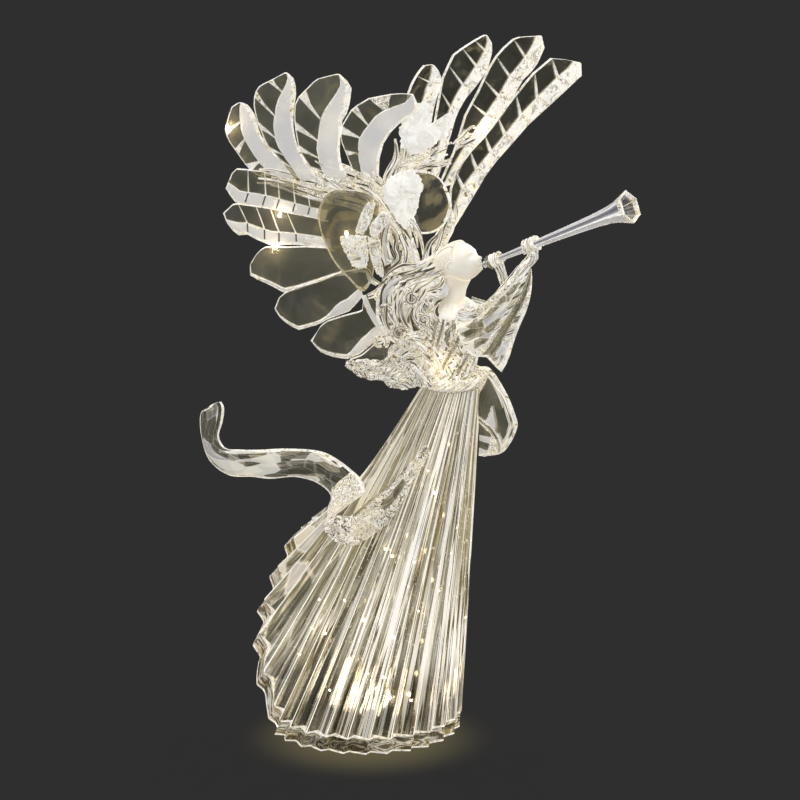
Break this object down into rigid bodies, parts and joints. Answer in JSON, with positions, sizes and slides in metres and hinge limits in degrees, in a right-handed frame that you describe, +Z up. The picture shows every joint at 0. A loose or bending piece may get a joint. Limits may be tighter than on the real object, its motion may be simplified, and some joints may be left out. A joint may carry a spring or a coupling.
{
  "type": "lighted angel figurine",
  "caption": "Standing clear acrylic angel with fanned feather wings, pleated gown and raised trumpet, lit from inside by a battery lamp and light string.",
  "frame": {"origin": "on the ground, under the middle of the whole figurine's outline (the middle of its bounding box)", "axes": "+Z up, +X the way the figure faces and blows its trumpet, +Y the figure's left"},
  "size_m": [0.3168, 0.2014, 0.442],
  "materials": {
    "clear_acrylic": "clear cast acrylic with cut facets and grooves, high gloss, faintly warm",
    "frosted_acrylic": "acrylic with a satin frosted skin, warm ivory",
    "black_plastic": "moulded black plastic, satin",
    "white_plastic": "moulded white plastic, satin",
    "lamp_resin": "clear lamp resin, glowing warm white",
    "copper_wire": "thin lacquered copper wire with clear beads",
    "spring_steel": "nickel-plated spring steel and screws",
    "board_laminate": "green circuit board laminate",
    "cell_jacket": "plain shrink-wrapped cell jacket"
  },
  "bodies": {
    "figurine": {"gown_shell": "clear_acrylic", "base_plate": "clear_acrylic", "battery_case": "black_plastic", "case_screw_1": "spring_steel", "case_screw_2": "spring_steel", "case_screw_3": "spring_steel", "battery_cell_1": "cell_jacket", "battery_cell_2": "cell_jacket", "contact_spring_1": "spring_steel", "contact_spring_2": "spring_steel", "contact_plate_front": "spring_steel", "contact_plate_rear": "spring_steel", "circuit_board": "board_laminate", "switch_body": "black_plastic", "wire_grommet": "white_plastic", "top_diffuser": "white_plastic", "base_lamp": "lamp_resin", "light_string": "copper_wire", "bodice": "frosted_acrylic", "head": "frosted_acrylic", "hair": "clear_acrylic", "trumpet": "clear_acrylic", "right_hand": "clear_acrylic", "left_hand": "clear_acrylic", "right_sleeve": "clear_acrylic", "left_sleeve": "clear_acrylic", "right_wing": "clear_acrylic", "left_wing": "clear_acrylic", "right_covert": "clear_acrylic", "left_covert": "clear_acrylic", "sash_knot": "clear_acrylic", "sash_loop": "clear_acrylic", "sash_bow": "clear_acrylic", "ribbon_drape": "clear_acrylic", "ribbon_tail": "clear_acrylic"},
    "door": {"battery_door": "black_plastic"},
    "slider": {"switch_slider": "white_plastic"}
  },
  "joints": [
    {"name": "door_hinge", "type": "hinge", "parent": "figurine", "child": "door", "pos_m": [-0.06047, -0.03846, 0.0008], "axis": [0, 1, 0], "range_deg": [0, 90]},
    {"name": "switch_slide", "type": "slide", "parent": "figurine", "child": "slider", "axis": [1, 0, 0], "range_m": [0, 0.004]}
  ]
}
